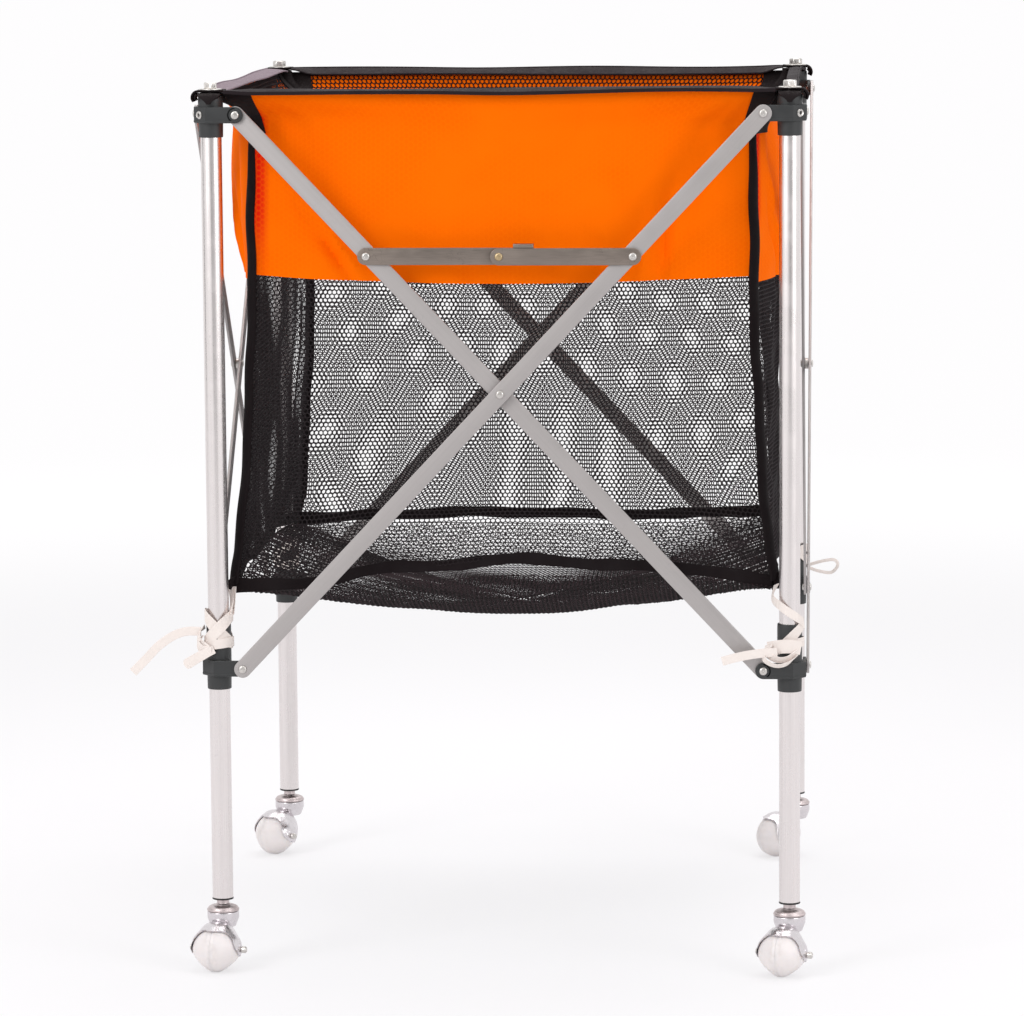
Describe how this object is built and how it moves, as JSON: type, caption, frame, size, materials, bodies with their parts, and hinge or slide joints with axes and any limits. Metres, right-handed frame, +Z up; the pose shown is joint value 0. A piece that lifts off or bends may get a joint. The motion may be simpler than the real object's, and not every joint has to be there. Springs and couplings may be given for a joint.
{
  "type": "folding mesh trolley",
  "caption": "Folding wheeled trolley with crossed flat braces on every side, ball casters and a square open mesh bag with an orange band.",
  "frame": {"origin": "on the floor under the middle of the trolley's outline, with the casters turned as they stand", "axes": "+Z up, +X to the trolley's right seen from its front, +Y to its back"},
  "size_m": [0.7188, 0.6707, 0.935],
  "materials": {
    "leg_tube": "satin anodised tube",
    "brace_metal": "brushed flat bar",
    "stay_steel": "scratched",
    "black_plastic": "fine moulded grain",
    "peg_metal": "zinc plated",
    "caster_chrome": "polished",
    "wheel_nylon": "smooth, slightly translucent",
    "bag_mesh": "open mesh with an orange upper band",
    "webbing": "woven webbing",
    "cotton_tape": "flat woven tape"
  },
  "bodies": {
    "front_left_leg": {"front_left_tube": "leg_tube", "front_left_peg": "peg_metal", "front_left_top_bracket": "black_plastic", "front_left_caster_stem": "caster_chrome", "front_left_corner_tab": "webbing", "front_left_tie": "cotton_tape", "front_mesh_panel": "bag_mesh", "front_left_tie_end": "cotton_tape"},
    "front_right_leg": {"front_right_tube": "leg_tube", "front_right_peg": "peg_metal", "front_right_top_bracket": "black_plastic", "front_right_caster_stem": "caster_chrome", "front_right_corner_tab": "webbing", "front_right_tie": "cotton_tape", "right_mesh_panel": "bag_mesh", "front_right_tie_end": "cotton_tape"},
    "rear_right_leg": {"rear_right_tube": "leg_tube", "rear_right_peg": "peg_metal", "rear_right_top_bracket": "black_plastic", "rear_right_caster_stem": "caster_chrome", "rear_right_corner_tab": "webbing", "rear_right_tie": "cotton_tape", "rear_mesh_panel": "bag_mesh"},
    "rear_left_leg": {"rear_left_tube": "leg_tube", "rear_left_peg": "peg_metal", "rear_left_top_bracket": "black_plastic", "rear_left_caster_stem": "caster_chrome", "rear_left_corner_tab": "webbing", "rear_left_tie": "cotton_tape", "left_mesh_panel": "bag_mesh"},
    "front_left_slider": {"front_left_slider": "black_plastic"},
    "front_right_slider": {"front_right_slider": "black_plastic"},
    "rear_right_slider": {"rear_right_slider": "black_plastic"},
    "rear_left_slider": {"rear_left_slider": "black_plastic"},
    "front_inner_brace": {"front_inner_brace": "brace_metal"},
    "front_outer_brace": {"front_outer_brace": "brace_metal"},
    "right_inner_brace": {"right_inner_brace": "brace_metal"},
    "right_outer_brace": {"right_outer_brace": "brace_metal"},
    "rear_inner_brace": {"rear_inner_brace": "brace_metal"},
    "rear_outer_brace": {"rear_outer_brace": "brace_metal"},
    "left_inner_brace": {"left_inner_brace": "brace_metal"},
    "left_outer_brace": {"left_outer_brace": "brace_metal"},
    "left_stay_bar": {"left_stay_bar": "stay_steel"},
    "right_stay_bar": {"right_stay_bar": "stay_steel"},
    "front_floor_gore": {"front_floor_gore": "bag_mesh"},
    "right_floor_gore": {"right_floor_gore": "bag_mesh"},
    "rear_floor_gore": {"rear_floor_gore": "bag_mesh"},
    "left_floor_gore": {"left_floor_gore": "bag_mesh"},
    "front_left_caster": {"front_left_caster_hood": "caster_chrome", "front_left_caster_axle": "peg_metal"},
    "front_left_wheel": {"front_left_ball_wheel": "wheel_nylon"},
    "front_right_caster": {"front_right_caster_hood": "caster_chrome", "front_right_caster_axle": "peg_metal"},
    "front_right_wheel": {"front_right_ball_wheel": "wheel_nylon"},
    "rear_right_caster": {"rear_right_caster_hood": "caster_chrome", "rear_right_caster_axle": "peg_metal"},
    "rear_right_wheel": {"rear_right_ball_wheel": "wheel_nylon"},
    "rear_left_caster": {"rear_left_caster_hood": "caster_chrome", "rear_left_caster_axle": "peg_metal"},
    "rear_left_wheel": {"rear_left_ball_wheel": "wheel_nylon"}
  },
  "joints": [
    {"name": "fold", "type": "hinge", "parent": "front_left_leg", "child": "front_inner_brace", "pos_m": [-0.2638, -0.2977, 0.9033], "axis": [0, 1, 0], "range_deg": [0, 38.52], "deforming": ["front_mesh_panel", "right_mesh_panel", "rear_mesh_panel", "left_mesh_panel"]},
    {"name": "front_crossing", "type": "hinge", "parent": "front_inner_brace", "child": "front_outer_brace", "pos_m": [0.009, -0.30125, 0.6133], "axis": [0, 1, 0], "range_deg": [-77.06, 0]},
    {"name": "front_right_leg_hang", "type": "hinge", "parent": "front_outer_brace", "child": "front_right_leg", "pos_m": [0.2818, -0.3048, 0.9033], "axis": [0, 1, 0], "range_deg": [0, 38.53]},
    {"name": "front_left_slider_hang", "type": "hinge", "parent": "front_outer_brace", "child": "front_left_slider", "pos_m": [-0.2638, -0.3048, 0.3233], "axis": [0, 1, 0], "range_deg": [0, 38.53]},
    {"name": "front_right_slider_hang", "type": "hinge", "parent": "front_inner_brace", "child": "front_right_slider", "pos_m": [0.2818, -0.2977, 0.3233], "axis": [0, 1, 0], "range_deg": [-38.53, 0]},
    {"name": "left_fold", "type": "hinge", "parent": "front_left_leg", "child": "left_outer_brace", "pos_m": [-0.3098, -0.2588, 0.9033], "axis": [1, 0, 0], "range_deg": [-38.53, 0]},
    {"name": "left_crossing", "type": "hinge", "parent": "left_outer_brace", "child": "left_inner_brace", "pos_m": [-0.30625, 0.014, 0.6133], "axis": [1, 0, 0], "range_deg": [0, 77.06]},
    {"name": "rear_left_leg_hang", "type": "hinge", "parent": "left_inner_brace", "child": "rear_left_leg", "pos_m": [-0.3027, 0.2868, 0.9033], "axis": [1, 0, 0], "range_deg": [-38.53, 0]},
    {"name": "rear_left_slider_hang", "type": "hinge", "parent": "left_outer_brace", "child": "rear_left_slider", "pos_m": [-0.3098, 0.2868, 0.3233], "axis": [1, 0, 0], "range_deg": [0, 38.53]},
    {"name": "right_fold", "type": "hinge", "parent": "front_right_leg", "child": "right_inner_brace", "pos_m": [0.3207, -0.2588, 0.9033], "axis": [1, 0, 0], "range_deg": [-38.53, 0]},
    {"name": "right_crossing", "type": "hinge", "parent": "right_inner_brace", "child": "right_outer_brace", "pos_m": [0.32425, 0.014, 0.6133], "axis": [1, 0, 0], "range_deg": [0, 77.06]},
    {"name": "rear_right_leg_hang", "type": "hinge", "parent": "right_outer_brace", "child": "rear_right_leg", "pos_m": [0.3278, 0.2868, 0.9033], "axis": [1, 0, 0], "range_deg": [-38.53, 0]},
    {"name": "rear_right_slider_hang", "type": "hinge", "parent": "right_inner_brace", "child": "rear_right_slider", "pos_m": [0.3207, 0.2868, 0.3233], "axis": [1, 0, 0], "range_deg": [0, 38.53]},
    {"name": "rear_fold", "type": "hinge", "parent": "rear_left_leg", "child": "rear_outer_brace", "pos_m": [-0.2638, 0.3328, 0.9033], "axis": [0, 1, 0], "range_deg": [0, 38.53]},
    {"name": "rear_crossing", "type": "hinge", "parent": "rear_outer_brace", "child": "rear_inner_brace", "pos_m": [0.009, 0.32925, 0.6133], "axis": [0, 1, 0], "range_deg": [-77.06, 0]},
    {"name": "left_stay_lift", "type": "hinge", "parent": "front_inner_brace", "child": "left_stay_bar", "pos_m": [-0.12872, -0.30085, 0.7597], "axis": [0, 1, 0], "range_deg": [-121.63, 0]},
    {"name": "right_stay_lift", "type": "hinge", "parent": "front_outer_brace", "child": "right_stay_bar", "pos_m": [0.14672, -0.30795, 0.7597], "axis": [0, 1, 0], "range_deg": [0, 121.63]},
    {"name": "front_floor_fold", "type": "hinge", "parent": "front_left_leg", "child": "front_floor_gore", "pos_m": [0.009, -0.273, 0.4085], "axis": [1, 0, 0], "range_deg": [-70.81, 0], "deforming": ["front_floor_gore"]},
    {"name": "right_floor_fold", "type": "hinge", "parent": "front_right_leg", "child": "right_floor_gore", "pos_m": [0.296, 0.014, 0.4085], "axis": [0, 1, 0], "range_deg": [-70.81, 0], "deforming": ["right_floor_gore"]},
    {"name": "rear_floor_fold", "type": "hinge", "parent": "rear_right_leg", "child": "rear_floor_gore", "pos_m": [0.009, 0.301, 0.4085], "axis": [-1, 0, 0], "range_deg": [-70.81, 0], "deforming": ["rear_floor_gore"]},
    {"name": "left_floor_fold", "type": "hinge", "parent": "rear_left_leg", "child": "left_floor_gore", "pos_m": [-0.278, 0.014, 0.4085], "axis": [0, -1, 0], "range_deg": [-70.81, 0], "deforming": ["left_floor_gore"]},
    {"name": "front_left_swivel", "type": "hinge", "parent": "front_left_leg", "child": "front_left_caster", "pos_m": [-0.291, -0.286, 0.0586], "axis": [0, 0, 1], "continuous": true},
    {"name": "front_right_swivel", "type": "hinge", "parent": "front_right_leg", "child": "front_right_caster", "pos_m": [0.309, -0.286, 0.0586], "axis": [0, 0, 1], "continuous": true},
    {"name": "rear_right_swivel", "type": "hinge", "parent": "rear_right_leg", "child": "rear_right_caster", "pos_m": [0.309, 0.314, 0.0586], "axis": [0, 0, 1], "continuous": true},
    {"name": "rear_left_swivel", "type": "hinge", "parent": "rear_left_leg", "child": "rear_left_caster", "pos_m": [-0.291, 0.314, 0.0586], "axis": [0, 0, 1], "continuous": true},
    {"name": "front_left_wheel_spin", "type": "hinge", "parent": "front_left_caster", "child": "front_left_wheel", "pos_m": [-0.29558, -0.30956, 0.025], "axis": [0.9816, -0.1908, 0], "continuous": true},
    {"name": "front_right_wheel_spin", "type": "hinge", "parent": "front_right_caster", "child": "front_right_wheel", "pos_m": [0.30158, -0.30883, 0.025], "axis": [0.9511, -0.309, 0], "continuous": true},
    {"name": "rear_right_wheel_spin", "type": "hinge", "parent": "rear_right_caster", "child": "rear_right_wheel", "pos_m": [0.28762, 0.3031, 0.025], "axis": [0.454, -0.891, 0], "continuous": true},
    {"name": "rear_left_wheel_spin", "type": "hinge", "parent": "rear_left_caster", "child": "rear_left_wheel", "pos_m": [-0.3061, 0.29535, 0.025], "axis": [0.7771, -0.6293, 0], "continuous": true}
  ],
  "couplings": [
    {"joint": "front_crossing", "follows": "fold", "ratio": -2},
    {"joint": "front_right_leg_hang", "follows": "fold", "ratio": 1},
    {"joint": "front_left_slider_hang", "follows": "fold", "ratio": 1},
    {"joint": "front_right_slider_hang", "follows": "fold", "ratio": -1},
    {"joint": "left_fold", "follows": "fold", "ratio": -1},
    {"joint": "left_crossing", "follows": "fold", "ratio": 2},
    {"joint": "rear_left_leg_hang", "follows": "fold", "ratio": -1},
    {"joint": "rear_left_slider_hang", "follows": "fold", "ratio": 1},
    {"joint": "right_fold", "follows": "fold", "ratio": -1},
    {"joint": "right_crossing", "follows": "fold", "ratio": 2},
    {"joint": "rear_right_leg_hang", "follows": "fold", "ratio": -1},
    {"joint": "rear_right_slider_hang", "follows": "fold", "ratio": 1},
    {"joint": "rear_fold", "follows": "fold", "ratio": 1},
    {"joint": "rear_crossing", "follows": "fold", "ratio": -2},
    {"joint": "left_stay_lift", "follows": "fold", "ratio": -3.157},
    {"joint": "right_stay_lift", "follows": "fold", "ratio": 3.157},
    {"joint": "front_floor_fold", "follows": "fold", "ratio": -1.8378},
    {"joint": "right_floor_fold", "follows": "fold", "ratio": -1.8378},
    {"joint": "rear_floor_fold", "follows": "fold", "ratio": -1.8378},
    {"joint": "left_floor_fold", "follows": "fold", "ratio": -1.8378}
  ]
}
